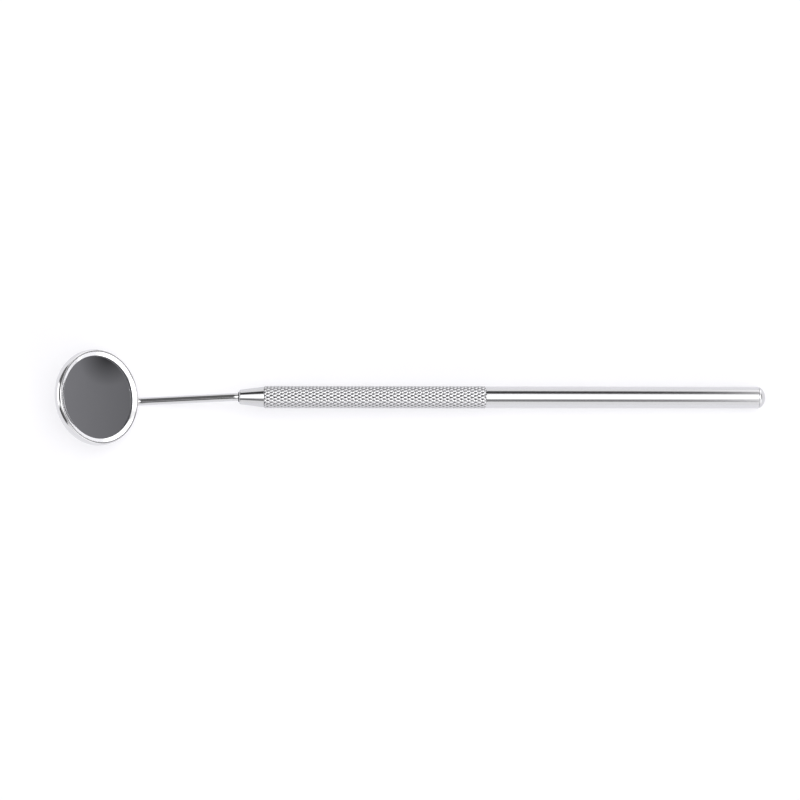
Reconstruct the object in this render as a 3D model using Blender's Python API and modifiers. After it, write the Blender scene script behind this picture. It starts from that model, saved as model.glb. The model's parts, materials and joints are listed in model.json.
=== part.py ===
"""Mouth mirror: a round dental mirror on a bent wire stem that screws into a knurled steel handle.

The mirror lies face up on a table. +X runs from the mirror head to the rear end of the handle, +Z is up,
and the XZ plane is the plane of symmetry. The origin is under the middle of the whole, on the table.

Each turned piece is drawn as an outline of (radius, height) pairs about its own Z axis. On the handle and
the threaded stub, height is the distance behind the front face of the handle's nose. On the head, height
is measured from the plane of the rim along the direction that the mirror faces.
"""

import math

import bmesh
import bpy
from mathutils import Vector

MM = 0.001

# Handle: a tube with a knurled grip, a threaded nose bush and a domed rear plug, both pressed in
HANDLE_LENGTH = 120.0 * MM
PLUG_LENGTH = 1.5 * MM
HANDLE_RADIUS = 2.5 * MM
GRIP_RADIUS = 2.55 * MM
GRIP_END = 56.0 * MM
TUBE_BORE_RADIUS = 1.9 * MM
TUBE_CHAMFER = 0.12 * MM
NOSE_LENGTH = 5.6 * MM
NOSE_RADIUS = 1.7 * MM
NOSE_CHAMFER = 0.3 * MM
SPIGOT_LENGTH = 6.4 * MM
DOME_RADIUS = 2.9 * MM
DOME_FLAT_RADIUS = 0.9 * MM

# Screw joint between head and handle: M2.5 thread, 0.45 mm pitch
THREAD_RADIUS = 1.25 * MM
THREAD_PITCH = 0.45 * MM
THREAD_TURNS = 10
THREAD_DEPTH = 0.27 * MM
THREAD_CREST = 0.06 * MM
THREAD_CLEARANCE = 0.04 * MM
STUB_FRONT = -0.25 * MM
STUB_CHAMFER = 0.22 * MM
STUB_NECK_RADIUS = 1.2 * MM
NECK_LENGTH = 1.4 * MM
COUNTERBORE_RADIUS = 1.32 * MM

# Stem: a wire that leaves the nose along the axis, then slopes down to the near side of the cup
STEM_RADIUS = 0.9 * MM
STEM_IN_STUB = 1.35 * MM
FIRST_BEND = -0.8 * MM
LAST_RUN = 1.1 * MM
LAST_BEND_ANGLE = math.radians(25.0)
BEND_RADIUS = 2.5 * MM

# Head: a shallow cup with the glass inside, held by a bevelled ring
HEAD_DISTANCE = 31.6 * MM
FACE_TILT = math.radians(37.8)
CUP_RADIUS = 11.0 * MM
CUP_HEIGHT = 2.5 * MM
CUP_WALL = 0.6 * MM
CUP_FLOOR = 0.3 * MM
WALL_CURVE_RADIUS = 2.6 * MM
WALL_HALF_ANGLE = 25.0
SEAM_CHAMFER = 0.07 * MM
RING_CHAMFER = 0.1 * MM
RING_LIP = 0.36 * MM
VISIBLE_GLASS_RADIUS = 9.5 * MM
GLASS_RECESS = 0.9 * MM
GLASS_RADIUS = 10.0 * MM
GLASS_THICKNESS = 1.0 * MM
SILVER_THICKNESS = 0.04 * MM
PAINT_THICKNESS = 0.05 * MM
FILLET_RADIUS = 1.22 * MM
FILLET_WAIST_RADIUS = 1.05 * MM
FILLET_END_RADIUS = 1.0 * MM
FILLET_LENGTH = 0.5 * MM

# Clearances that keep neighbouring solids apart
FIT_GAP = 0.02 * MM
LAYER_GAP = 0.01 * MM
CUTTER_GAP = 0.03 * MM

HANDLE_SEGMENTS = 40
THREAD_SEGMENTS = 24
HEAD_SEGMENTS = 64
STEM_SIDES_RESOLUTION = 6
ARC_STEPS = 4
BEND_STEPS = 8
ROUTE_PASSES = 20
SHARP_ANGLE = math.radians(35.0)
MERGE_DISTANCE = 0.0000001

TUBE_END = HANDLE_LENGTH - PLUG_LENGTH
THREAD_START = STUB_FRONT + NECK_LENGTH
THREAD_END = THREAD_START + THREAD_TURNS * THREAD_PITCH
THREAD_ROOT_RADIUS = THREAD_RADIUS - THREAD_DEPTH
CUP_BORE_RADIUS = CUP_RADIUS - CUP_WALL

# The cup's wall is a shallow curve that runs into a small rounding at the rim and another at the back
WALL_SINE = math.sin(math.radians(WALL_HALF_ANGLE))
WALL_COSINE = math.cos(math.radians(WALL_HALF_ANGLE))
EDGE_ROUNDING = (CUP_HEIGHT / 2 - WALL_CURVE_RADIUS * WALL_SINE) / (1 - WALL_SINE)
FLAT_RADIUS = CUP_RADIUS - WALL_CURVE_RADIUS + (WALL_CURVE_RADIUS - EDGE_ROUNDING) * WALL_COSINE


def clear_scene():
    for item in list(bpy.data.objects):
        bpy.data.objects.remove(item, do_unlink=True)


def new_collection(name):
    collection = bpy.data.collections.new(name)
    bpy.context.scene.collection.children.link(collection)
    return collection


def empty(name, parent=None, location=(0, 0, 0), turn_y=0.0):
    """A named frame that pieces hang from."""
    frame = bpy.data.objects.new(name, None)
    frame.empty_display_size = 5 * MM
    frame.parent = parent
    frame.location = location
    frame.rotation_euler = (0, turn_y, 0)
    parts.objects.link(frame)
    return frame


def finish(name, colour, roughness, metallic=1.0, transmission=0.0):
    """A Principled material with one colour and gloss."""
    material = bpy.data.materials.new(name)
    material.use_nodes = True
    shader = material.node_tree.nodes["Principled BSDF"]
    shader.inputs["Base Color"].default_value = (*colour, 1)
    shader.inputs["Roughness"].default_value = roughness
    shader.inputs["Metallic"].default_value = metallic
    shader.inputs["Transmission Weight"].default_value = transmission
    material.diffuse_color = (*colour, 1)
    return material


def arc(centre, radius, start, end):
    """Points of a round stretch of an outline, with start and end in degrees from the outward direction."""
    turn = math.radians(end - start) / ARC_STEPS
    angles = [math.radians(start) + i * turn for i in range(ARC_STEPS + 1)]
    return [(centre[0] + radius * math.cos(a), centre[1] + radius * math.sin(a)) for a in angles]


def as_mesh(item):
    """The item's shape with its modifiers, or its curve's bevel, made into a plain closed mesh."""
    bpy.context.view_layer.update()
    graph = bpy.context.evaluated_depsgraph_get()
    mesh = bpy.data.meshes.new_from_object(item.evaluated_get(graph))
    work = bmesh.new()
    work.from_mesh(mesh)
    bmesh.ops.remove_doubles(work, verts=work.verts, dist=MERGE_DISTANCE)
    work.to_mesh(mesh)
    work.free()
    mesh.shade_smooth()
    mesh.set_sharp_from_angle(angle=SHARP_ANGLE)
    return mesh


def turned(name, outline, parent, segments, closed, collection=None):
    """A body of revolution about its own Z. The outline runs from the top down the outer side."""
    last = len(outline) - 1
    edges = [(i, i + 1) for i in range(last)]
    if closed:
        edges.append((last, 0))
    profile = bpy.data.meshes.new(name)
    profile.from_pydata([(radius, 0, height) for radius, height in outline], edges, [])
    piece = bpy.data.objects.new(name, profile)
    (collection or parts).objects.link(piece)
    piece.parent = parent
    screw = piece.modifiers.new("turn", "SCREW")
    screw.axis = "Z"
    screw.steps = segments
    screw.render_steps = segments
    screw.use_merge_vertices = True
    screw.merge_threshold = MERGE_DISTANCE
    piece.data = as_mesh(piece)
    piece.modifiers.clear()
    bpy.data.meshes.remove(profile)
    piece.data.name = name
    return piece


def along_handle(name, outline, parent, segments=HANDLE_SEGMENTS, closed=True):
    """A turned piece whose height runs backwards along the handle."""
    piece = turned(name, outline, parent, segments, closed)
    piece.rotation_euler = (0, math.radians(90), 0)
    return piece


def handle_tube(parent):
    """The tube: a knurled grip behind the nose, then a plain polished length."""
    outline = [
        (HANDLE_RADIUS - TUBE_CHAMFER, TUBE_END),
        (HANDLE_RADIUS, TUBE_END - TUBE_CHAMFER),
        (HANDLE_RADIUS, GRIP_END + TUBE_CHAMFER),
        (GRIP_RADIUS, GRIP_END - TUBE_CHAMFER),
        (GRIP_RADIUS, NOSE_LENGTH + 2 * TUBE_CHAMFER),
        (GRIP_RADIUS - TUBE_CHAMFER, NOSE_LENGTH + FIT_GAP),
        (TUBE_BORE_RADIUS, NOSE_LENGTH + FIT_GAP),
        (TUBE_BORE_RADIUS, TUBE_END),
    ]
    return along_handle("handle_tube", outline, parent)


def nose_bush(parent):
    """The tapered nose, with the thread's bore through it and a spigot that is pressed into the tube."""
    spigot = TUBE_BORE_RADIUS - FIT_GAP
    bore = THREAD_RADIUS + THREAD_CLEARANCE
    outline = [
        (spigot, NOSE_LENGTH + SPIGOT_LENGTH),
        (spigot, NOSE_LENGTH),
        (HANDLE_RADIUS - TUBE_CHAMFER, NOSE_LENGTH),
        (NOSE_RADIUS, NOSE_CHAMFER),
        (NOSE_RADIUS - NOSE_CHAMFER, 0),
        (COUNTERBORE_RADIUS, 0),
        (COUNTERBORE_RADIUS, THREAD_START),
        (bore, THREAD_START),
        (bore, NOSE_LENGTH + SPIGOT_LENGTH),
    ]
    return along_handle("nose_bush", outline, parent)


def end_plug(parent):
    """The domed rear end, flat at its tip, with a spigot that is pressed into the tube."""
    flat_angle = math.asin(DOME_FLAT_RADIUS / DOME_RADIUS)
    edge_angle = math.asin((HANDLE_RADIUS - TUBE_CHAMFER) / DOME_RADIUS)
    centre = HANDLE_LENGTH - DOME_RADIUS * math.cos(flat_angle)
    dome = arc((0, centre), DOME_RADIUS, 90 - math.degrees(flat_angle), 90 - math.degrees(edge_angle))
    spigot = TUBE_BORE_RADIUS - FIT_GAP
    seat = TUBE_END + FIT_GAP
    outline = [(0, HANDLE_LENGTH), *dome]
    outline += [(HANDLE_RADIUS - TUBE_CHAMFER, seat), (spigot, seat)]
    outline += [(spigot, seat - SPIGOT_LENGTH), (0, seat - SPIGOT_LENGTH)]
    return along_handle("end_plug", outline, parent, closed=False)


def threaded_stub(parent):
    """The screw on the stem's end: rings at the thread's pitch, and a neck with a socket for the wire. The
    neck's chamfered front stands a little proud of the nose."""
    socket = STEM_RADIUS + FIT_GAP
    outline = [(0, THREAD_END), (THREAD_ROOT_RADIUS, THREAD_END)]
    for turn in range(THREAD_TURNS):
        crest = THREAD_END - (turn + 0.5) * THREAD_PITCH
        outline.append((THREAD_RADIUS, crest + THREAD_CREST / 2))
        outline.append((THREAD_RADIUS, crest - THREAD_CREST / 2))
        outline.append((THREAD_ROOT_RADIUS, crest - THREAD_PITCH / 2))
    outline += [
        (STUB_NECK_RADIUS, THREAD_START),
        (STUB_NECK_RADIUS, STUB_FRONT + STUB_CHAMFER),
        (STUB_NECK_RADIUS - STUB_CHAMFER, STUB_FRONT),
        (socket, STUB_FRONT),
        (socket, STUB_FRONT + NECK_LENGTH - FIT_GAP),
        (0, STUB_FRONT + NECK_LENGTH - FIT_GAP),
    ]
    return along_handle("threaded_stub", outline, parent, THREAD_SEGMENTS, closed=False)


def face_point(outward, height):
    """The (x, z) of a point of the head in its plane of symmetry: outward towards the handle, height along
    the direction that the mirror faces."""
    x = -HEAD_DISTANCE + outward * math.cos(FACE_TILT) + height * math.sin(FACE_TILT)
    z = -outward * math.sin(FACE_TILT) + height * math.cos(FACE_TILT)
    return Vector((x, z))


def stem_corners():
    """The wire's route as straight runs, from its socket in the stub to a point just inside the cup's wall.

    The last run leaves the sloping one at LAST_BEND_ANGLE, and each sets the other's slope, so a few passes
    settle them."""
    foot = face_point(CUP_RADIUS, -CUP_HEIGHT / 2)
    start = Vector((FIRST_BEND, 0))
    slope = math.atan2(-foot.y, start.x - foot.x)
    for _ in range(ROUTE_PASSES):
        direction = math.pi + slope - LAST_BEND_ANGLE
        last = Vector((math.cos(direction), math.sin(direction)))
        knee = foot - LAST_RUN * last
        slope = math.atan2(-knee.y, start.x - knee.x)
    return [Vector((STUB_FRONT + STEM_IN_STUB, 0)), start, knee, foot + 2 * STEM_RADIUS * last]


def rounded(corners, radius):
    """The route through the corners, with each inner corner replaced by an arc."""
    points = [corners[0]]
    for before, corner, after in zip(corners, corners[1:], corners[2:]):
        back = (before - corner).normalized()
        ahead = (after - corner).normalized()
        half = back.angle(ahead) / 2
        setback = radius / math.tan(half)
        centre = corner + (back + ahead).normalized() * radius / math.sin(half)
        from_centre = corner + setback * back - centre
        to_centre = corner + setback * ahead - centre
        for i in range(BEND_STEPS + 1):
            spoke = from_centre.slerp(to_centre, i / BEND_STEPS).normalized()
            points.append(centre + radius * spoke)
    points.append(corners[-1])
    return points


def wire(name, radius, parent, collection):
    """A round wire along the stem's route, as a closed mesh."""
    curve = bpy.data.curves.new(name, "CURVE")
    curve.dimensions = "3D"
    curve.bevel_depth = radius
    curve.bevel_resolution = STEM_SIDES_RESOLUTION
    curve.use_fill_caps = True
    route = rounded(stem_corners(), BEND_RADIUS)
    spline = curve.splines.new("POLY")
    spline.points.add(len(route) - 1)
    for point, place in zip(spline.points, route):
        point.co = (place.x, 0, place.y, 1)
    guide = bpy.data.objects.new(name + "_route", curve)
    collection.objects.link(guide)
    guide.parent = parent
    mesh = as_mesh(guide)
    bpy.data.objects.remove(guide, do_unlink=True)
    mesh.name = name
    piece = bpy.data.objects.new(name, mesh)
    collection.objects.link(piece)
    piece.parent = parent
    return piece


def as_cutter(item):
    item.hide_render = True
    item.display_type = "WIRE"
    return item


def cut(piece, cutter):
    """Takes the cutter's shape out of the piece."""
    boolean = piece.modifiers.new("clear " + cutter.name, "BOOLEAN")
    boolean.operation = "DIFFERENCE"
    boolean.solver = "EXACT"
    boolean.object = cutter


def cup_space(parent):
    """A tall cylinder over the cup, a little wider than it is, that trims what is brazed on to its wall."""
    radius = CUP_RADIUS + CUTTER_GAP
    reach = 3 * CUP_HEIGHT
    outline = [(0, reach), (radius, reach), (radius, -reach), (0, -reach)]
    return as_cutter(turned("cup_space", outline, parent, 2 * HEAD_SEGMENTS, False, cutters))


def stem(parent, cup_cutter):
    """The bent wire, its end coped to the round wall of the cup."""
    piece = wire("stem", STEM_RADIUS, parent, parts)
    cut(piece, cup_cutter)
    return piece


def braze_fillet(parent, cup_cutter, stem_cutter):
    """The collar of brazing metal round the stem's foot."""
    outline = [
        (0, FILLET_LENGTH),
        (FILLET_END_RADIUS, FILLET_LENGTH),
        (FILLET_WAIST_RADIUS, FILLET_LENGTH / 2),
        (FILLET_RADIUS, 0),
        (FILLET_RADIUS, -FILLET_LENGTH),
        (0, -FILLET_LENGTH),
    ]
    piece = turned("braze_fillet", outline, parent, THREAD_SEGMENTS, closed=False)
    piece.location = (CUP_RADIUS + CUTTER_GAP, 0, -CUP_HEIGHT / 2)
    piece.rotation_euler = (0, math.radians(90), 0)
    cut(piece, cup_cutter)
    cut(piece, stem_cutter)
    return piece


def mirror_cup(parent):
    """The shallow steel cup: a flat floor, a wall that bulges slightly, and rounded edges."""
    wall_centre = (CUP_RADIUS - WALL_CURVE_RADIUS, -CUP_HEIGHT / 2)
    outline = [
        (0, CUP_FLOOR - CUP_HEIGHT),
        (CUP_BORE_RADIUS, CUP_FLOOR - CUP_HEIGHT),
        (CUP_BORE_RADIUS, -SEAM_CHAMFER),
        (CUP_BORE_RADIUS + SEAM_CHAMFER, 0),
        *arc((FLAT_RADIUS, -EDGE_ROUNDING), EDGE_ROUNDING, 90, WALL_HALF_ANGLE)[:-1],
        *arc(wall_centre, WALL_CURVE_RADIUS, WALL_HALF_ANGLE, -WALL_HALF_ANGLE),
        *arc((FLAT_RADIUS, EDGE_ROUNDING - CUP_HEIGHT), EDGE_ROUNDING, -WALL_HALF_ANGLE, -90)[1:],
        (0, -CUP_HEIGHT),
    ]
    return turned("mirror_cup", outline, parent, HEAD_SEGMENTS, closed=False)


def retaining_ring(parent):
    """The ring inside the rim: its bevel slopes down to an upright lip that holds the glass in."""
    outer = CUP_BORE_RADIUS - FIT_GAP
    land = outer - RING_CHAMFER
    bottom = LAYER_GAP - GLASS_RECESS
    outline = [
        (land, -LAYER_GAP),
        (outer, -SEAM_CHAMFER - LAYER_GAP),
        (outer, bottom),
        (VISIBLE_GLASS_RADIUS, bottom),
        (VISIBLE_GLASS_RADIUS, bottom + RING_LIP),
    ]
    return turned("retaining_ring", outline, parent, HEAD_SEGMENTS, closed=True)


def disc(name, radius, top, thickness, parent):
    """A flat round layer of the stack inside the cup."""
    outline = [(0, top), (radius, top), (radius, top - thickness), (0, top - thickness)]
    return turned(name, outline, parent, HEAD_SEGMENTS, closed=False)


def edge_seal(parent):
    """The bead of sealant between the edge of the glass and the wall of the cup."""
    top = -GLASS_RECESS - LAYER_GAP
    outline = [
        (CUP_BORE_RADIUS - FIT_GAP, top),
        (CUP_BORE_RADIUS - FIT_GAP, top - GLASS_THICKNESS),
        (GLASS_RADIUS + FIT_GAP, top - GLASS_THICKNESS),
        (GLASS_RADIUS + FIT_GAP, top),
    ]
    return turned("edge_seal", outline, parent, HEAD_SEGMENTS, closed=True)


def glass_stack(parent):
    """The glass, the silver behind it, the paint behind that, and the cement that beds it in the cup."""
    glass_top = -GLASS_RECESS
    silver_top = glass_top - GLASS_THICKNESS - LAYER_GAP
    paint_top = silver_top - SILVER_THICKNESS - LAYER_GAP
    cement_top = paint_top - PAINT_THICKNESS - LAYER_GAP
    cement_thickness = cement_top + CUP_HEIGHT - CUP_FLOOR - LAYER_GAP
    silver_radius = GLASS_RADIUS - FIT_GAP
    return {
        "glass": disc("mirror_glass", GLASS_RADIUS, glass_top, GLASS_THICKNESS, parent),
        "silver": disc("silver_layer", silver_radius, silver_top, SILVER_THICKNESS, parent),
        "paint": disc("backing_paint", silver_radius, paint_top, PAINT_THICKNESS, parent),
        "cement": disc("cement_bed", silver_radius, cement_top, cement_thickness, parent),
    }


def rest_tilt():
    """How far the handle slopes down to the rear when the cup's near edge and the tube's rear edge both touch
    the table: the line that passes through the tube's edge and just under the cup's rounded edge."""
    edge = face_point(FLAT_RADIUS, EDGE_ROUNDING - CUP_HEIGHT)
    heel = Vector((TUBE_END - TUBE_CHAMFER, -HANDLE_RADIUS))
    span = heel - edge
    return math.atan2(span.y, span.x) + math.asin(EDGE_ROUNDING / span.length)


def stand_on_table(frame):
    """Moves the whole mirror so that it stands on Z = 0 with the middle of its box over the origin."""
    bpy.context.view_layer.update()
    graph = bpy.context.evaluated_depsgraph_get()
    corners = []
    for item in parts.objects:
        if item.type == "MESH":
            mesh = item.evaluated_get(graph).to_mesh()
            corners += [item.matrix_world @ vertex.co for vertex in mesh.vertices]
    middle_x = (min(c.x for c in corners) + max(c.x for c in corners)) / 2
    lowest = min(c.z for c in corners)
    frame.location = (-middle_x, 0, -lowest)


def paint(piece, material):
    piece.data.materials.clear()
    piece.data.materials.append(material)


def build():
    rest = empty("rest")
    handle = empty("handle", rest)
    screw_axis = empty("screw_axis", rest)
    head_face = empty("head_face", screw_axis, (-HEAD_DISTANCE, 0, 0), FACE_TILT)

    steel = (0.72, 0.72, 0.74)
    paint(handle_tube(handle), finish("handle_steel", steel, 0.22))
    paint(nose_bush(handle), finish("nose_steel", steel, 0.18))
    paint(end_plug(handle), finish("plug_steel", steel, 0.18))
    paint(threaded_stub(screw_axis), finish("thread_steel", steel, 0.3))

    cup_cutter = cup_space(head_face)
    stem_cutter = as_cutter(wire("stem_space", STEM_RADIUS + CUTTER_GAP, screw_axis, cutters))
    paint(stem(screw_axis, cup_cutter), finish("stem_steel", steel, 0.15))
    fillet = braze_fillet(head_face, cup_cutter, stem_cutter)
    paint(fillet, finish("braze_metal", (0.7, 0.69, 0.66), 0.35))
    paint(mirror_cup(head_face), finish("cup_steel", steel, 0.12))
    paint(retaining_ring(head_face), finish("ring_steel", steel, 0.1))

    stack = glass_stack(head_face)
    paint(stack["glass"], finish("clear_glass", (0.9, 0.95, 0.94), 0.02, 0.0, 1.0))
    paint(stack["silver"], finish("silvering", (0.92, 0.92, 0.93), 0.03))
    paint(stack["paint"], finish("grey_paint", (0.3, 0.3, 0.32), 0.6, 0.0))
    paint(stack["cement"], finish("white_cement", (0.8, 0.79, 0.75), 0.7, 0.0))
    paint(edge_seal(head_face), finish("dark_sealant", (0.05, 0.05, 0.06), 0.5, 0.0))

    rest.rotation_euler = (0, rest_tilt(), 0)
    stand_on_table(rest)


clear_scene()
parts = new_collection("mouth_mirror")
cutters = new_collection("cutters")
build()
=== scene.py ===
"""The looks of the mouth mirror: fine knurl, thread and rim, steel and glass, a white table and studio light.

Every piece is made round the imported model. Lengths are metres. A turned piece is drawn in its own frame,
with Z along its axis, and is then placed in the frame of the handle or of the head. On the handle, height is
the distance behind the nose's front face. On the head, it is measured from the rim along the way it faces.
"""

import json
import math

import bpy
import numpy as np
from mathutils import Euler, Matrix, Vector


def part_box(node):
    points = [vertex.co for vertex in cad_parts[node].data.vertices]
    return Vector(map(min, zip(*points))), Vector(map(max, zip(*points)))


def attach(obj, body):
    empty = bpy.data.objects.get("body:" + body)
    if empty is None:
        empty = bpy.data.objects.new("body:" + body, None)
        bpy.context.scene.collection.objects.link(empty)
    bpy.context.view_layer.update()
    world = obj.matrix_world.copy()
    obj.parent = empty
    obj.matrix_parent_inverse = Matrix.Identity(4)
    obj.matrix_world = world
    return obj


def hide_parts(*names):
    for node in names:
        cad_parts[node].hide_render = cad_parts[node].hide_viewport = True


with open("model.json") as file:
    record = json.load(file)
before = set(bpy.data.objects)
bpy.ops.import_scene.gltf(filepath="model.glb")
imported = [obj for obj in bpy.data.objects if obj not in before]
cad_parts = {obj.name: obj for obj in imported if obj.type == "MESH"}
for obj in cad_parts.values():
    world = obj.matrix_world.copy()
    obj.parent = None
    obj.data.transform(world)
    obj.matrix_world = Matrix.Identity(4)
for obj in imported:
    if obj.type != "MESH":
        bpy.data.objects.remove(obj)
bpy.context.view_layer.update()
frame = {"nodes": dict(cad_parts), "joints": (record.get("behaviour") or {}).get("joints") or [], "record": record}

MM = 0.001
MICRON = 0.001 * MM

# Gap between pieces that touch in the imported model
CLEARANCE = 0.02 * MM

# Tube, nose and domed end of the handle
TUBE_BORE_RADIUS = 1.9 * MM
TUBE_CHAMFER = 0.12 * MM
TUBE_EDGE_ROUNDING = 0.1 * MM
GRIP_END = 56.0 * MM
SEAM_RADIUS = 2.38 * MM
SPIGOT_RADIUS = TUBE_BORE_RADIUS - CLEARANCE
SPIGOT_LENGTH = 6.4 * MM
NOSE_LENGTH = 5.6 * MM
NOSE_RADIUS = 1.7 * MM
NOSE_ROUNDING = 0.36 * MM
NOSE_EDGE_ROUNDING = 0.08 * MM
COUNTERBORE_RADIUS = 1.32 * MM
THREADED_BORE_RADIUS = 1.29 * MM
DOME_RADIUS = 2.9 * MM
DOME_HEIGHT = 1.5 * MM
DOME_FLAT_RADIUS = 0.9 * MM
DOME_CHAMFER = 0.1 * MM
HANDLE_SIDES = 128

# Knurl: two crossing families of grooves, each at about 27 degrees to the axis. The crests stand a little
# over the plain rear, a groove's side takes KNURL_SLOPE of half a pitch, and the knurl runs out at its end.
KNURL_STARTS = 19
KNURL_AXIAL_PITCH = 1.6 * MM
KNURL_DEPTH = 0.22 * MM
KNURL_STEPS = 8
KNURL_SLOPE = 0.62
CREST_HEIGHT = 0.05 * MM
RUN_OUT_SLOPE = 0.8
RUN_OUT_STEP = 0.06 * MM
# Painted shade on the knurl: how dark a groove is painted, and how much more a pit where two grooves cross
GROOVE_SHADE = 0.2
PIT_SHADE = 1.1

# Screw, with its neck a little proud of the nose, and painted shade that darkens the neck where it enters the nose
THREAD_PITCH = 0.45 * MM
THREAD_START = 1.15 * MM
THREAD_TURNS = 10
THREAD_STEPS = 12
THREAD_SIDES = 48
THREAD_CREST_RADIUS = 1.25 * MM
THREAD_ROOT_RADIUS = 0.98 * MM
THREAD_END_RADIUS = 0.8 * MM
TOOTH_STEEPNESS = 2.6
TOOTH_ROOT_FLAT = 0.15
FIRST_TOOTH = 0.3
STUB_FRONT = -0.25 * MM
STUB_NECK_RADIUS = 1.2 * MM
STUB_ROUNDING = 0.24 * MM
SOCKET_END = THREAD_START - 0.1 * MM
# Painted shade on the neck: full up to this height behind the nose's front face, gone at the next
NECK_SHADE_FULL = 0.25 * MM
NECK_SHADE_END = 0.4 * MM

# Stem and its brazed collar
STEM_RADIUS = 0.9 * MM
STEM_SINK = 0.05 * MM
FIRST_BEND = -0.8 * MM
LAST_RUN = 1.1 * MM
LAST_BEND_ANGLE = math.radians(25.0)
BEND_REACH = 0.45 * MM
BEND_STEPS = 12
WIRE_ROUNDNESS = 14
COLLAR_FOOT = 0.05 * MM
COLLAR_LENGTH = 0.5 * MM
COLLAR_FLARE = 0.22 * MM
COLLAR_CURVE = 2.2
COLLAR_OVERLAP = 0.1 * MM
COLLAR_FOOT_RADIUS = 0.4 * MM
COLLAR_STEPS = 10
COLLAR_SIDES = 96

# Cup, its ring and the glass
CUP_RADIUS = 11.0 * MM
CUP_HEIGHT = 2.5 * MM
CUP_FLOOR = 0.3 * MM
CUP_BORE_RADIUS = 10.4 * MM
CUP_BORE_ROUNDING = 0.07 * MM
CUP_BACK_RING = 0.8 * MM
WALL_CURVE_RADIUS = 2.6 * MM
WALL_HALF_ANGLE = 25.0
RING_GAP = 0.015 * MM
RING_LIP = 0.43 * MM
RING_ROUNDING = 0.03 * MM
LIP_CHAMFER_WIDTH = 0.04 * MM
LIP_CHAMFER_HEIGHT = 0.03 * MM
RING_EDGE_WIDTH = 0.04 * MM
RING_EDGE_HEIGHT = 0.06 * MM
VISIBLE_GLASS_RADIUS = 9.5 * MM
GLASS_RECESS = 0.9 * MM
GLASS_RADIUS = 10.0 * MM
GLASS_THICKNESS = 1.0 * MM
GLASS_EDGE = 0.1 * MM
HEAD_SIDES = 256

# Line of sealant: how far it reaches over the glass, and how unevenly
SEAL_LEAST = 0.05 * MM
SEAL_CREEP = 0.13 * MM
SEAL_TOP_SET_BACK = 0.015 * MM
SEAL_TOP_CREEP = 0.05 * MM
SEAL_LIFT = 0.002 * MM
SEAL_HIDDEN_WIDTH = 0.1 * MM
SEAL_WAVES = range(2, 40)
SEAL_SEED = 4

# Table
TABLE_SIZE = 4.0
TABLE_DROP = 0.03 * MM
TABLE_GLOW = 0.58

# Camera
CAMERA_DISTANCE = 0.75
CAMERA_ELEVATION = math.radians(82.0)
CAMERA_ROLL = math.radians(-0.26)
CAMERA_AIM = Vector((-0.0028, -0.0006, 0.006))
CAMERA_LENS = 148.2
CAMERA_SENSOR = 36.0

# Studio: the tent's light, and its cards as (azimuth, elevation, half width, half height, softness, light),
# with the angles in degrees
TENT_LIGHT = 1.0
STUDIO_CARDS = [
    (-45, 28, 14, 26, 5, 1.9),
    (58, 26, 14, 26, 5, 1.9),
    (10, 22, 22, 24, 6, 0.2),
    (150, 30, 36, 34, 5, 0.16),
    (97, 45, 24, 16, 4, 0.06),
    (-95, 48, 22, 12, 4, 0.28),
    (-128, 42, 16, 15, 4, 0.12),
    (-146, 8, 17, 16, 3, 0.1),
    (173, -2, 19, 21, 3, 1.9),
    (0, 82, 17, 27, 6, 2.8),
]

# Card beyond the handle's end, paler at the top than at the bottom, with a small dark patch
END_CARD_MIDDLE = (0.25, 0.045, 0.095)
END_CARD_SIZE = (0.12, 0.16)
END_CARD_LIGHT = (0.14, 0.235)
END_CARD_FADE = (0.077, 0.113)
END_SHADE_MIDDLE = (0.25, 0.061, 0.0905)
END_SHADE_RADIUS = 0.0105
END_SHADE_LIGHT = 0.1


# ---------------------------------------------------------------- frames of the handle and of the head


def frame_matrix(origin, up, side):
    """A frame at origin whose Z is up and whose X is side, made square to it."""
    z = Vector(up).normalized()
    y = z.cross(Vector(side)).normalized()
    x = y.cross(z)
    turn = Matrix((x, y, z)).transposed().to_4x4()
    return Matrix.Translation(Vector(origin)) @ turn


def find(rows, name):
    """The row of that name in one of the frame's lists."""
    return next(row for row in rows if row["name"] == name)


screw_joint = find(frame["joints"], "head_turn")
cup_back = find(frame["record"]["mounts"], "cup_back")
handle_tip = find(frame["record"]["mounts"], "handle_tip")
nose_front = Vector(screw_joint["pos_m"])
rearward = -Vector(screw_joint["axis"])
facing = -Vector(cup_back["axis"])
HANDLE_LENGTH = (Vector(handle_tip["pos_m"]) - nose_front).length
TUBE_END = HANDLE_LENGTH - DOME_HEIGHT
rim_centre = Vector(cup_back["pos_m"]) + CUP_HEIGHT * facing
on_handle = frame_matrix(nose_front, rearward, (0, 0, -1))
on_head = frame_matrix(rim_centre, facing, rearward)
handle_down = Vector(on_handle.col[0].xyz)


# ---------------------------------------------------------------- shape helpers


def arc(centre, radius, start, end, steps=8):
    """Points of a round stretch of an outline, with start and end in degrees from the outward direction."""
    angles = [math.radians(start + (end - start) * i / steps) for i in range(steps + 1)]
    return [(centre[0] + radius * math.cos(a), centre[1] + radius * math.sin(a)) for a in angles]


def softened(outline, radius, steps=4):
    """The outline with each corner between its first and last points rounded off."""
    points = [outline[0]]
    for before, corner, after in zip(outline, outline[1:], outline[2:]):
        here = Vector(corner)
        back = Vector(before) - here
        ahead = Vector(after) - here
        reach = min(radius, 0.45 * back.length, 0.45 * ahead.length)
        first = here + reach * back.normalized()
        last = here + reach * ahead.normalized()
        for i in range(steps + 1):
            t = i / steps
            bend = first.lerp(here, t).lerp(here.lerp(last, t), t)
            points.append((bend.x, bend.y))
    points.append(outline[-1])
    return points


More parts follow.
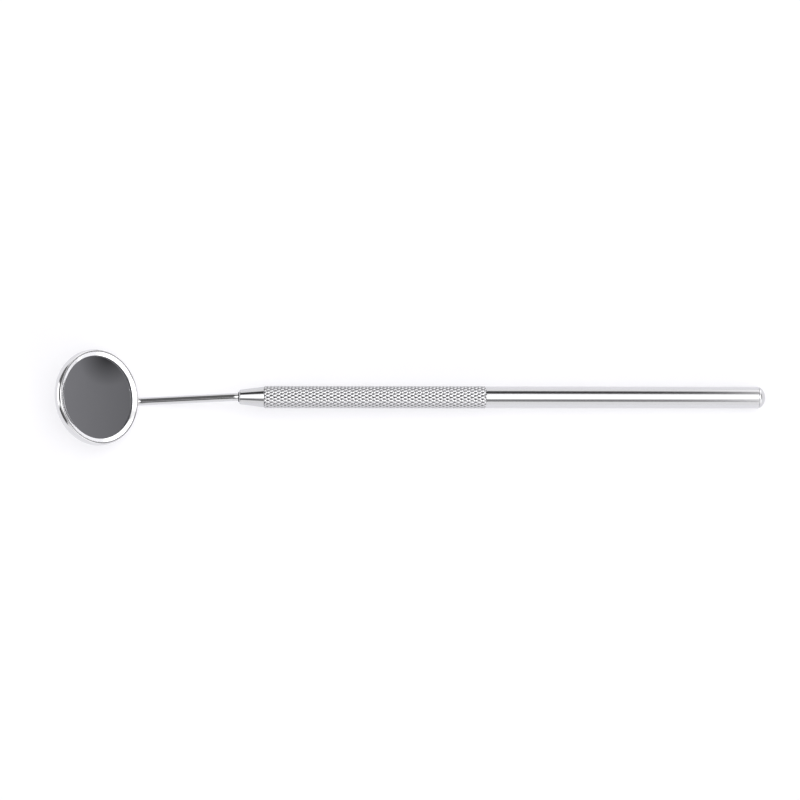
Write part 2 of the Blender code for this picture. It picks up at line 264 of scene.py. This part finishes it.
def ring_faces(rows, count, closed):
    """The faces between each row of vertices and the next. A row of one vertex is a pole."""
    pairs = list(zip(rows, rows[1:]))
    if closed:
        pairs.append((rows[-1], rows[0]))
    faces = []
    for upper, lower in pairs:
        for i in range(count):
            j = (i + 1) % count
            if len(upper) == 1:
                faces.append((upper[0], lower[i], lower[j]))
            elif len(lower) == 1:
                faces.append((upper[i], lower[0], upper[j]))
            else:
                faces.append((upper[i], lower[i], lower[j], upper[j]))
    return faces


def ring_piece(name, rings, count, place, closed, sharp=50.0):
    """A closed surface of revolution, or one that varies round its axis.

    A ring is (radius or radii, height), from the top down the outer side. A ring of radius 0 is a pole.
    With closed, the last ring is joined to the first, which leaves a hole along the axis.
    """
    turn = 2 * np.pi * np.arange(count) / count
    vertices, rows = [], []
    for radius, height in rings:
        if np.ndim(radius) == 0 and radius < 1e-9:
            rows.append([len(vertices)])
            vertices.append((0, 0, height))
            continue
        radii = np.broadcast_to(radius, count)
        rows.append(list(range(len(vertices), len(vertices) + count)))
        vertices += list(zip(radii * np.cos(turn), radii * np.sin(turn), np.full(count, height)))
    mesh = bpy.data.meshes.new(name)
    mesh.from_pydata(vertices, [], ring_faces(rows, count, closed))
    mesh.shade_smooth()
    mesh.set_sharp_from_angle(angle=math.radians(sharp))
    piece = bpy.data.objects.new(name, mesh)
    bpy.context.scene.collection.objects.link(piece)
    piece.matrix_world = place
    return piece


def placed(piece, body, nodes, material):
    """Gives the piece its material and body, and hides the CAD nodes it stands for."""
    piece.data.materials.clear()
    piece.data.materials.append(material)
    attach(piece, body)
    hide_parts(*nodes)


# ---------------------------------------------------------------- materials


class Nodes:
    """A short way to write a node material."""

    def __init__(self, name):
        self.material = bpy.data.materials.new(name)
        self.material.use_nodes = True
        self.tree = self.material.node_tree
        self.shader = self.tree.nodes["Principled BSDF"]
        self.coordinates = self.add("ShaderNodeTexCoord").outputs["Object"]

    def add(self, kind, **settings):
        """A new node with these settings."""
        node = self.tree.nodes.new(kind)
        for key, value in settings.items():
            setattr(node, key, value)
        return node

    def link(self, source, target):
        """Joins an output to an input."""
        self.tree.links.new(source, target)

    def set(self, **values):
        """Sets the shader's own values, with _ for each space in a name."""
        for key, value in values.items():
            self.shader.inputs[key.replace("_", " ")].default_value = value

    def noise(self, scale, detail, stretch=(1, 1, 1)):
        """Noise over the piece's own coordinates, in features per metre, stretched along its axes."""
        mapping = self.add("ShaderNodeMapping")
        mapping.inputs["Scale"].default_value = stretch
        self.link(self.coordinates, mapping.inputs["Vector"])
        noise = self.add("ShaderNodeTexNoise")
        noise.inputs["Scale"].default_value = scale
        noise.inputs["Detail"].default_value = detail
        self.link(mapping.outputs["Vector"], noise.inputs["Vector"])
        return noise.outputs["Fac"]

    def ranged(self, value, low, high, to_low, to_high):
        """The value moved from one range to another, and kept in it."""
        node = self.add("ShaderNodeMapRange")
        for key, number in zip(("From Min", "From Max", "To Min", "To Max"), (low, high, to_low, to_high)):
            node.inputs[key].default_value = number
        self.link(value, node.inputs["Value"])
        return node.outputs["Result"]

    def base(self, value, low, high):
        """The shader's colour, as a blend between two colours."""
        self.link(self.colours(value, low, high), self.shader.inputs["Base Color"])

    def rough(self, value):
        """The shader's roughness."""
        self.link(value, self.shader.inputs["Roughness"])

    def relief(self, normal):
        """The shader's normal."""
        self.link(normal, self.shader.inputs["Normal"])

    def turning_marks(self, mark_height, scratch_height):
        """Fine rings left by turning, with a few scratches along the axis. Returns the rings' pattern."""
        streaks = self.noise(900, 3, (0.06, 0.06, 9.0))
        scratches = self.noise(1500, 2, (4.0, 4.0, 0.08))
        cut = self.ranged(scratches, 0.68, 0.76, 1.0, 0.0)
        self.relief(self.bump(cut, scratch_height, self.bump(streaks, mark_height)))
        return streaks

    def colours(self, value, low, high):
        """A blend between two colours."""
        ramp = self.add("ShaderNodeValToRGB")
        ramp.color_ramp.elements[0].color = (*low, 1)
        ramp.color_ramp.elements[1].color = (*high, 1)
        self.link(value, ramp.inputs["Fac"])
        return ramp.outputs["Color"]

    def bump(self, value, height, before=None):
        """A bump of that height in metres, on top of the bump before."""
        node = self.add("ShaderNodeBump")
        node.inputs["Strength"].default_value = 1.0
        node.inputs["Distance"].default_value = height
        self.link(value, node.inputs["Height"])
        if before is not None:
            self.link(before, node.inputs["Normal"])
        return node.outputs["Normal"]


def turned_steel(name, low, high, smooth, rough, marks):
    """Bright steel with fine turning marks round its axis, a few scratches and faint stains."""
    steel = Nodes(name)
    steel.set(Metallic=1.0)
    steel.base(steel.noise(260, 5), low, high)
    streaks = steel.turning_marks(marks, 0.5 * marks)
    steel.rough(steel.ranged(streaks, 0.3, 0.75, smooth, rough))
    return steel.material


def knurled_steel():
    """The tube's steel: bright on the lands; painted shade darkens it in the grooves and most in the pits where
    they cross, which are rougher too.
    """
    steel = Nodes("knurled_handle_steel")
    steel.set(Metallic=1.0)
    groove_shade = steel.add("ShaderNodeAttribute", attribute_name="groove_shade").outputs["Fac"]
    # Painted shade: the grooves, and most of all the pits, are painted near black
    steel.base(groove_shade, (0.69, 0.69, 0.705), (0.015, 0.015, 0.018))
    streaks = steel.turning_marks(0.5 * MICRON, 0.3 * MICRON)
    wear = steel.add("ShaderNodeMath", operation="MULTIPLY_ADD")
    wear.inputs[1].default_value = 0.22
    steel.link(groove_shade, wear.inputs[0])
    steel.link(steel.ranged(streaks, 0.3, 0.75, 0.1, 0.17), wear.inputs[2])
    steel.rough(wear.outputs["Value"])
    return steel.material


def thread_with_painted_shade():
    """The screw's steel, as cut, with painted shade that darkens the front of its neck at the nose."""
    steel = Nodes("thread_steel")
    steel.set(Metallic=1.0)
    stains = steel.noise(900, 4)
    bare = steel.colours(stains, (0.55, 0.55, 0.56), (0.68, 0.68, 0.69))
    parts = steel.add("ShaderNodeSeparateXYZ")
    steel.link(steel.coordinates, parts.inputs["Vector"])
    # Painted shade: the neck's front, where it enters the nose, is painted near black
    neck_shade = steel.ranged(parts.outputs["Z"], NECK_SHADE_FULL, NECK_SHADE_END, 1.0, 0.0)
    mixed = steel.add("ShaderNodeMix", data_type="RGBA")
    mixed.inputs["B"].default_value = (0.03, 0.03, 0.035, 1)
    steel.link(neck_shade, mixed.inputs["Factor"])
    steel.link(bare, mixed.inputs["A"])
    steel.link(mixed.outputs["Result"], steel.shader.inputs["Base Color"])
    steel.rough(steel.ranged(stains, 0.3, 0.7, 0.2, 0.32))
    return steel.material


def mirror_surface():
    """Silver seen through clear glass: sharp, very slightly blue, with the faintest of smears."""
    glass = Nodes("silvered_glass")
    glass.set(Metallic=1.0, Coat_Weight=0.6, Coat_Roughness=0.01, Coat_IOR=1.5)
    glass.base(glass.noise(180, 3), (0.83, 0.835, 0.87), (0.87, 0.875, 0.9))
    smears = glass.noise(420, 4, (1.0, 0.35, 1.0))
    glass.rough(glass.ranged(smears, 0.45, 0.8, 0.012, 0.05))
    return glass.material


def sealant():
    """Dark sealant that creeps on to the edge of the glass."""
    dark = Nodes("edge_sealant")
    dark.set(Metallic=0.0)
    grain = dark.noise(3000, 4)
    dark.base(grain, (0.03, 0.03, 0.035), (0.09, 0.09, 0.1))
    dark.rough(dark.ranged(grain, 0.3, 0.7, 0.35, 0.6))
    dark.relief(dark.bump(grain, 10 * MICRON))
    return dark.material


def braze_metal():
    """The brazing metal: softer, warmer and less polished than the steel."""
    metal = Nodes("braze_metal")
    metal.set(Metallic=1.0)
    flow = metal.noise(1600, 4)
    metal.base(flow, (0.6, 0.58, 0.54), (0.74, 0.72, 0.69))
    metal.rough(metal.ranged(flow, 0.3, 0.7, 0.18, 0.38))
    metal.relief(metal.bump(flow, 20 * MICRON))
    return metal.material


def coating(name, low, high, roughness):
    """A dull layer inside the head, such as paint or cement."""
    layer = Nodes(name)
    layer.set(Metallic=0.0)
    grain = layer.noise(2500, 4)
    layer.base(grain, low, high)
    layer.rough(layer.ranged(grain, 0.3, 0.7, roughness, roughness + 0.15))
    layer.relief(layer.bump(grain, 5 * MICRON))
    return layer.material


# ---------------------------------------------------------------- handle


def groove(phase):
    """Depth of one family of grooves, from 0 on its lands to 1 at the bottom of its grooves."""
    share = np.abs(phase - np.round(phase)) * 2
    return np.clip(1 - share / KNURL_SLOPE, 0, 1)


def grooves(turn, height):
    """Depths of the two families of grooves at a turn about the axis and a height along it."""
    around = KNURL_STARTS * turn / (2 * np.pi)
    along = height / KNURL_AXIAL_PITCH
    return groove(around + along), groove(around - along)


def mark_groove_shade(piece):
    """Gives the piece an attribute of painted shade: a little in a groove, and 1 in a pit where two cross."""
    x, y, height = np.array([vertex.co for vertex in piece.data.vertices]).T
    one_way, other_way = grooves(np.arctan2(y, x), height)
    # Painted shade: a little along each groove and most in the pits, within the knurl only
    painted_shade = GROOVE_SHADE * np.maximum(one_way, other_way) + PIT_SHADE * np.sqrt(one_way * other_way)
    in_grip = (height < GRIP_END) & (np.hypot(x, y) > (TUBE_BORE_RADIUS + SEAM_RADIUS) / 2)
    groove_shade = piece.data.attributes.new("groove_shade", "FLOAT", "POINT")
    groove_shade.data.foreach_set("value", np.where(in_grip, np.minimum(painted_shade, 1), 0).astype(np.float32))


def handle_tube(material):
    """The tube: plain and polished at the rear, chamfered and knurled in front, hollow inside.

    The extra ring close behind the knurl keeps the grooves out of the shading of the plain length.
    """
    low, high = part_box("handle_tube")
    crest = (high.y - low.y) / 2
    radius = crest - CREST_HEIGHT
    count = 2 * KNURL_STARTS * KNURL_STEPS
    turn = 2 * np.pi * np.arange(count) / count
    rings = softened(
        [
            (TUBE_BORE_RADIUS, TUBE_END),
            (radius, TUBE_END),
            (radius, GRIP_END + 4 * TUBE_CHAMFER),
            (radius, GRIP_END + TUBE_CHAMFER),
        ],
        TUBE_EDGE_ROUNDING,
    )
    front = NOSE_LENGTH + CLEARANCE
    step = KNURL_AXIAL_PITCH / (2 * KNURL_STEPS)
    first = math.ceil(front / step)
    last = math.floor(GRIP_END / step)
    for row in range(last, first - 1, -1):
        height = row * step
        surface = crest - KNURL_DEPTH * sum(grooves(turn, height)) / 2
        from_end = RUN_OUT_SLOPE * (GRIP_END - height) + RUN_OUT_STEP
        run_out = radius - TUBE_CHAMFER + min(height - front, from_end)
        rings.append((np.minimum(surface, run_out), height))
    rings.append((radius - KNURL_DEPTH, front))
    rings.append((TUBE_BORE_RADIUS, front))
    piece = ring_piece("handle_with_knurl", rings, count, on_handle, closed=True)
    mark_groove_shade(piece)
    placed(piece, "handle", ["handle_tube"], material)


def nose_bush(material):
    """The tapered nose with its counterbore and threaded bore."""
    spigot_end = NOSE_LENGTH + SPIGOT_LENGTH
    outline = [
        (SPIGOT_RADIUS, spigot_end),
        (SPIGOT_RADIUS, NOSE_LENGTH),
        (SEAM_RADIUS, NOSE_LENGTH),
        *arc((NOSE_RADIUS - NOSE_ROUNDING, NOSE_ROUNDING), NOSE_ROUNDING, 0, -90, 12),
        (COUNTERBORE_RADIUS, 0),
        (COUNTERBORE_RADIUS, THREAD_START),
        (THREADED_BORE_RADIUS, THREAD_START),
        (THREADED_BORE_RADIUS, spigot_end),
    ]
    rounded = softened(outline, NOSE_EDGE_ROUNDING)
    piece = ring_piece("tapered_nose", rounded, HANDLE_SIDES, on_handle, closed=True, sharp=60)
    placed(piece, "handle", ["nose_bush"], material)


def end_plug(material):
    """The domed rear end."""
    flat = math.degrees(math.asin(DOME_FLAT_RADIUS / DOME_RADIUS))
    edge = math.degrees(math.asin(SEAM_RADIUS / DOME_RADIUS))
    centre = HANDLE_LENGTH - DOME_RADIUS * math.cos(math.radians(flat))
    seat = TUBE_END + CLEARANCE
    outline = [
        (0, HANDLE_LENGTH),
        *arc((0, centre), DOME_RADIUS, 90 - flat, 90 - edge, 24),
        (SEAM_RADIUS, seat + DOME_CHAMFER),
        (SEAM_RADIUS - DOME_CHAMFER, seat),
        (SPIGOT_RADIUS, seat),
        (SPIGOT_RADIUS, seat - SPIGOT_LENGTH),
        (0, seat - SPIGOT_LENGTH),
    ]
    piece = ring_piece("domed_end", outline, HANDLE_SIDES, on_handle, closed=False, sharp=40)
    placed(piece, "handle", ["end_plug"], material)


# ---------------------------------------------------------------- screw and stem


def threaded_stub(material):
    """The screw: a true helix behind a plain neck. It turns with the head."""
    turn = 2 * np.pi * np.arange(THREAD_SIDES) / THREAD_SIDES
    thread_depth = THREAD_CREST_RADIUS - THREAD_ROOT_RADIUS
    end = THREAD_START + THREAD_TURNS * THREAD_PITCH
    rings = [(0, end), (THREAD_END_RADIUS, end)]
    for row in range(THREAD_TURNS * THREAD_STEPS, -1, -1):
        height = THREAD_START + row * THREAD_PITCH / THREAD_STEPS
        phase = height / THREAD_PITCH - turn / (2 * np.pi)
        tooth = np.clip(TOOTH_STEEPNESS * np.abs(phase - np.round(phase)) - TOOTH_ROOT_FLAT, 0, 1)
        fade = min(1, (end - height) / THREAD_PITCH, FIRST_TOOTH + (height - THREAD_START) / THREAD_PITCH)
        rings.append((THREAD_ROOT_RADIUS + thread_depth * tooth * fade, height))
    rings.append((STUB_NECK_RADIUS, THREAD_START - CLEARANCE))
    neck_edge = (STUB_NECK_RADIUS - STUB_ROUNDING, STUB_FRONT + STUB_ROUNDING)
    rings += arc(neck_edge, STUB_ROUNDING, 0, -90)
    socket = STEM_RADIUS + CLEARANCE
    rings += [(socket, STUB_FRONT), (socket, SOCKET_END), (0, SOCKET_END)]
    piece = ring_piece("stub_thread", rings, THREAD_SIDES, on_handle, closed=False, sharp=60)
    placed(piece, "head", ["threaded_stub"], material)


def stem_route():
    """Corners of the wire's centre line in the mirror's plane of symmetry.

    A point is (how far behind the nose's front face, how far over the handle's axis). The rim's centre is
    on that axis. The slope down to the cup and the bend at its foot depend on each other, and settle in a
    few rounds.
    """
    tilt = facing.angle(-handle_down)
    start = Vector((FIRST_BEND, 0))
    outward = Vector((math.cos(tilt), -math.sin(tilt)))
    normal = Vector((math.sin(tilt), math.cos(tilt)))
    centre = Vector((-(rim_centre - nose_front).length, 0))
    foot = centre + (CUP_RADIUS - STEM_SINK) * outward - CUP_HEIGHT / 2 * normal
    slope = math.atan2(-foot.y, start.x - foot.x)
    for _ in range(20):
        direction = math.pi + slope - LAST_BEND_ANGLE
        last = Vector((math.cos(direction), math.sin(direction)))
        knee = foot - LAST_RUN * last
        slope = math.atan2(-knee.y, start.x - knee.x)
    return [Vector((SOCKET_END - CLEARANCE, 0)), start, knee, foot]


def in_world(step):
    """A step in the mirror's plane of symmetry (rearward, upward) as a step in the world."""
    return step.x * rearward - step.y * handle_down


def wire_points():
    """The wire's centre line, with its bends rounded."""
    corners = stem_route()
    points = [corners[0]]
    for before, corner, after in zip(corners, corners[1:], corners[2:]):
        first = corner + BEND_REACH * (before - corner).normalized()
        last = corner + BEND_REACH * (after - corner).normalized()
        for i in range(BEND_STEPS + 1):
            t = i / BEND_STEPS
            points.append(first.lerp(corner, t).lerp(corner.lerp(last, t), t))
    points.append(corners[-1])
    return [nose_front + in_world(point) for point in points]


def stem(material):
    """The bent wire from the stub to the wall of the cup."""
    points = wire_points()
    curve = bpy.data.curves.new("bent_wire_stem", "CURVE")
    curve.dimensions = "3D"
    curve.bevel_depth = STEM_RADIUS
    curve.bevel_resolution = WIRE_ROUNDNESS
    curve.use_fill_caps = True
    spline = curve.splines.new("POLY")
    spline.points.add(len(points) - 1)
    for point, spot in zip(spline.points, points):
        point.co = (*spot, 1)
    piece = bpy.data.objects.new("bent_wire_stem", curve)
    bpy.context.scene.collection.objects.link(piece)
    bpy.context.view_layer.update()
    mesh = bpy.data.meshes.new_from_object(piece.evaluated_get(bpy.context.evaluated_depsgraph_get()))
    bpy.data.objects.remove(piece)
    mesh.shade_smooth()
    mesh.set_sharp_from_angle(angle=math.radians(40))
    piece = bpy.data.objects.new("bent_wire_stem", mesh)
    bpy.context.scene.collection.objects.link(piece)
    placed(piece, "head", ["stem"], material)


def braze_fillet(material):
    """A smooth collar of brazing metal that flares from the wire on to the cup's wall."""
    corners = stem_route()
    foot, knee = corners[-1], corners[-2]
    place = frame_matrix(nose_front + in_world(foot), in_world(knee - foot), (0, 1, 0))
    flare = [
        (STEM_RADIUS + COLLAR_FLARE * (1 - t) ** COLLAR_CURVE, COLLAR_FOOT + COLLAR_LENGTH * t)
        for t in np.linspace(1, 0, COLLAR_STEPS)
    ]
    outline = [
        (STEM_RADIUS - COLLAR_OVERLAP, COLLAR_FOOT + COLLAR_LENGTH),
        *flare,
        (COLLAR_FOOT_RADIUS, 0),
    ]
    piece = ring_piece("brazed_collar", outline, COLLAR_SIDES, place, closed=True, sharp=60)
    placed(piece, "head", ["braze_fillet"], material)


# ---------------------------------------------------------------- mirror head


def mirror_cup(material):
    """The cup: flat back, slightly bulging wall, rounded rim, and a tiny round-over at the seam."""
    sine = math.sin(math.radians(WALL_HALF_ANGLE))
    cosine = math.cos(math.radians(WALL_HALF_ANGLE))
    rounding = (CUP_HEIGHT / 2 - WALL_CURVE_RADIUS * sine) / (1 - sine)
    wall_middle = CUP_RADIUS - WALL_CURVE_RADIUS
    flat = wall_middle + (WALL_CURVE_RADIUS - rounding) * cosine
    floor = CUP_FLOOR - CUP_HEIGHT
    seam = (CUP_BORE_RADIUS + CUP_BORE_ROUNDING, -CUP_BORE_ROUNDING)
    outline = [
        (0, floor),
        (CUP_BORE_RADIUS, floor),
        *arc(seam, CUP_BORE_ROUNDING, 180, 90, 6),
        *arc((flat, -rounding), rounding, 90, WALL_HALF_ANGLE)[:-1],
        *arc((wall_middle, -CUP_HEIGHT / 2), WALL_CURVE_RADIUS, WALL_HALF_ANGLE, -WALL_HALF_ANGLE, 16),
        *arc((flat, rounding - CUP_HEIGHT), rounding, -WALL_HALF_ANGLE, -90)[1:],
        (CUP_BACK_RING, -CUP_HEIGHT),
        (0, -CUP_HEIGHT),
    ]
    piece = ring_piece("steel_cup", outline, HEAD_SIDES, on_head, closed=False, sharp=40)
    placed(piece, "head", ["mirror_cup"], material)


def retaining_ring(material):
    """The bevelled ring: an upright lip round the glass, and from there a slope up to the rim."""
    inner = VISIBLE_GLASS_RADIUS
    outer = CUP_BORE_RADIUS - RING_GAP
    bottom = CLEARANCE - GLASS_RECESS
    lip = bottom + RING_LIP
    top = -CLEARANCE
    outline = [
        (outer, bottom),
        (inner + CLEARANCE, bottom),
        (inner, bottom + LIP_CHAMFER_HEIGHT),
        (inner, lip - LIP_CHAMFER_HEIGHT),
        (inner + LIP_CHAMFER_WIDTH, lip),
        (outer - 2 * RING_EDGE_WIDTH, top),
        (outer - RING_EDGE_WIDTH, top),
        (outer, top - RING_EDGE_HEIGHT),
    ]
    rounded = softened([*outline, outline[0]], RING_ROUNDING)
    piece = ring_piece("bevelled_ring", rounded[:-1], HEAD_SIDES, on_head, closed=True, sharp=50)
    placed(piece, "head", ["retaining_ring"], material)


def mirror_glass(material):
    """The silvered glass disc with a ground edge."""
    top = -GLASS_RECESS
    outline = [
        (0, top),
        (GLASS_RADIUS - GLASS_EDGE, top),
        (GLASS_RADIUS, top - GLASS_EDGE),
        (GLASS_RADIUS, top - GLASS_THICKNESS),
        (0, top - GLASS_THICKNESS),
    ]
    piece = ring_piece("silvered_mirror", outline, HEAD_SIDES, on_head, closed=False, sharp=30)
    placed(piece, "head", ["mirror_glass", "silver_layer"], material)


def seal_creep(turn):
    """How far the sealant has crept at each turn round the glass, from 0 to 1, unevenly."""
    rng = np.random.default_rng(SEAL_SEED)
    creep = 0
    for wave in SEAL_WAVES:
        size = rng.uniform(0.2, 1.0)
        creep = creep + size * np.cos(wave * turn + rng.uniform(0, 6.28)) / wave**0.6
    return 0.5 + 0.5 * creep / np.abs(creep).max()


def edge_seal(material):
    """The sealant: a bead that climbs the ring's lip and shows as an uneven dark line round the glass."""
    creep = seal_creep(2 * np.pi * np.arange(HEAD_SIDES) / HEAD_SIDES)
    foot = VISIBLE_GLASS_RADIUS - SEAL_LEAST - SEAL_CREEP * creep
    head = VISIBLE_GLASS_RADIUS + SEAL_TOP_SET_BACK - SEAL_TOP_CREEP * creep
    hidden = VISIBLE_GLASS_RADIUS + SEAL_HIDDEN_WIDTH
    low = SEAL_LIFT - GLASS_RECESS
    top = RING_LIP - CLEARANCE - GLASS_RECESS
    rings = [(hidden, low), (foot, low), (head, top), (hidden, top)]
    piece = ring_piece("sealant_line", rings, HEAD_SIDES, on_head, closed=True, sharp=60)
    placed(piece, "head", ["edge_seal"], material)


# ---------------------------------------------------------------- table, light and camera


def table():
    """A plain white table, a hair below the mirror."""
    bpy.ops.mesh.primitive_plane_add(size=TABLE_SIZE, location=(0, 0, -TABLE_DROP))
    floor = bpy.context.active_object
    floor.name = "table"
    white = Nodes("white_table")
    white.set(Metallic=0.0, Roughness=0.9, Specular_IOR_Level=0.1)
    white.set(Emission_Color=(0.985, 0.98, 1.0, 1), Emission_Strength=TABLE_GLOW)
    white.base(white.noise(60, 3), (0.445, 0.445, 0.465), (0.465, 0.465, 0.475))
    floor.data.materials.append(white.material)


def card_axes(azimuth, elevation):
    """The direction of a card's middle, and its level and upward edges, for angles in degrees."""
    middle = Vector((1, 0, 0))
    middle.rotate(Euler((0, -math.radians(elevation), math.radians(azimuth))))
    level = Vector((0, 0, 1)).cross(middle).normalized()
    return middle, level, middle.cross(level)


class Studio:
    """A white tent as a world, with light and dark cards hung in it. A card covers those hung before it."""

    def __init__(self, light):
        self.world = bpy.data.worlds.new("studio")
        bpy.context.scene.world = self.world
        self.world.use_nodes = True
        self.tree = self.world.node_tree
        self.direction = self.tree.nodes.new("ShaderNodeTexCoord").outputs["Generated"]
        self.light = light

    def calculate(self, operation, *values):
        """The result of a sum on numbers and on other nodes' outputs."""
        node = self.tree.nodes.new("ShaderNodeMath")
        node.operation = operation
        for socket, value in zip(node.inputs, values):
            if isinstance(value, (int, float)):
                socket.default_value = value
            else:
                self.tree.links.new(value, socket)
        return node.outputs["Value"]

    def along(self, axis):
        """How far the direction points along an axis."""
        node = self.tree.nodes.new("ShaderNodeVectorMath")
        node.operation = "DOT_PRODUCT"
        node.inputs[1].default_value = axis
        self.tree.links.new(self.direction, node.inputs[0])
        return node.outputs["Value"]

    def inside(self, sideways, ahead, half_angle, softness):
        """1 within half_angle of the card's middle line, fading to 0 over the softness."""
        angle = self.calculate("ABSOLUTE", self.calculate("ARCTAN2", sideways, ahead))
        node = self.tree.nodes.new("ShaderNodeMapRange")
        node.interpolation_type = "SMOOTHSTEP"
        node.inputs["From Min"].default_value = math.radians(half_angle - softness)
        node.inputs["From Max"].default_value = math.radians(half_angle + softness)
        node.inputs["To Min"].default_value = 1.0
        node.inputs["To Max"].default_value = 0.0
        self.tree.links.new(angle, node.inputs["Value"])
        return node.outputs["Result"]

    def hang(self, azimuth, elevation, half_width, half_height, softness, light):
        """A card at that azimuth from +X and elevation, all in degrees, that shines with that light."""
        middle, level, upward = card_axes(azimuth, elevation)
        ahead = self.along(middle)
        wide = self.inside(self.along(level), ahead, half_width, softness)
        high = self.inside(self.along(upward), ahead, half_height, softness)
        cover = self.calculate("MULTIPLY", wide, high)
        change = self.calculate("SUBTRACT", light, self.light)
        self.light = self.calculate("MULTIPLY_ADD", cover, change, self.light)

    def finish(self):
        """Gives the world the light that has been built up."""
        background = self.tree.nodes["Background"]
        background.inputs["Color"].default_value = (1.0, 0.995, 1.0, 1)
        self.tree.links.new(self.light, background.inputs["Strength"])


def studio():
    """The light: a tent, a bright box over the mirror, and the dark gaps that draw lines on the steel."""
    tent = Studio(TENT_LIGHT)
    for card in STUDIO_CARDS:
        tent.hang(*card)
    tent.finish()


def end_card():
    """A dim card beyond the handle's end, which the tilted glass faces. Only reflections show it."""
    bpy.ops.mesh.primitive_plane_add(size=1, location=END_CARD_MIDDLE, rotation=(0, math.radians(-90), 0))
    card = bpy.context.active_object
    card.name = "end_card"
    card.scale = (*END_CARD_SIZE, 1)
    card.visible_camera = False
    card.visible_shadow = False
    card.visible_diffuse = False
    dim = Nodes("dim_card")
    place = dim.add("ShaderNodeNewGeometry").outputs["Position"]
    parts = dim.add("ShaderNodeSeparateXYZ")
    dim.link(place, parts.inputs["Vector"])
    upward = dim.ranged(parts.outputs["Z"], *END_CARD_FADE, *END_CARD_LIGHT)
    distance = dim.add("ShaderNodeVectorMath", operation="DISTANCE")
    distance.inputs[1].default_value = END_SHADE_MIDDLE
    dim.link(place, distance.inputs[0])
    shade = dim.ranged(distance.outputs["Value"], 0.0, END_SHADE_RADIUS, END_SHADE_LIGHT, 1.0)
    light = dim.add("ShaderNodeMath", operation="MULTIPLY")
    dim.link(upward, light.inputs[0])
    dim.link(shade, light.inputs[1])
    emission = dim.add("ShaderNodeEmission")
    emission.inputs["Color"].default_value = (0.96, 0.955, 1.0, 1)
    dim.link(light.outputs["Value"], emission.inputs["Strength"])
    dim.link(emission.outputs["Emission"], dim.tree.nodes["Material Output"].inputs["Surface"])
    card.data.materials.append(dim.material)


def camera():
    """The camera looks almost straight down, from the side of the near edge."""
    data = bpy.data.cameras.new("camera")
    data.lens = CAMERA_LENS
    data.sensor_width = CAMERA_SENSOR
    item = bpy.data.objects.new("camera", data)
    bpy.context.scene.collection.objects.link(item)
    back = Vector((0, -math.cos(CAMERA_ELEVATION), math.sin(CAMERA_ELEVATION)))
    place = Matrix.Translation(CAMERA_AIM + CAMERA_DISTANCE * back)
    look = (-back).to_track_quat("-Z", "Y").to_matrix().to_4x4()
    item.matrix_world = place @ look @ Matrix.Rotation(CAMERA_ROLL, 4, "Z")
    bpy.context.scene.camera = item


camera()
table()
studio()
end_card()
bpy.context.scene.view_settings.view_transform = "Standard"

polished = turned_steel("polished_steel", (0.62, 0.62, 0.635), (0.68, 0.68, 0.69), 0.07, 0.13, 0.6 * MICRON)
rim = turned_steel("rim_steel", (0.68, 0.68, 0.69), (0.74, 0.74, 0.75), 0.06, 0.11, 0.3 * MICRON)
bevel = turned_steel("bevel_steel", (0.86, 0.86, 0.87), (0.92, 0.92, 0.93), 0.06, 0.11, 0.3 * MICRON)
wire = turned_steel("wire_steel", (0.64, 0.64, 0.655), (0.7, 0.7, 0.715), 0.09, 0.15, 0.2 * MICRON)

handle_tube(knurled_steel())
nose_bush(polished)
end_plug(polished)
threaded_stub(thread_with_painted_shade())
stem(wire)
braze_fillet(braze_metal())
mirror_cup(rim)
retaining_ring(bevel)
mirror_glass(mirror_surface())
edge_seal(sealant())
inner_layers = {
    "backing_paint": coating("backing_paint", (0.24, 0.24, 0.26), (0.34, 0.34, 0.36), 0.55),
    "cement_bed": coating("bedding_cement", (0.7, 0.69, 0.65), (0.82, 0.81, 0.77), 0.7),
}
for node, material in inner_layers.items():
    layer = frame["nodes"][node].data
    layer.materials.clear()
    layer.materials.append(material)
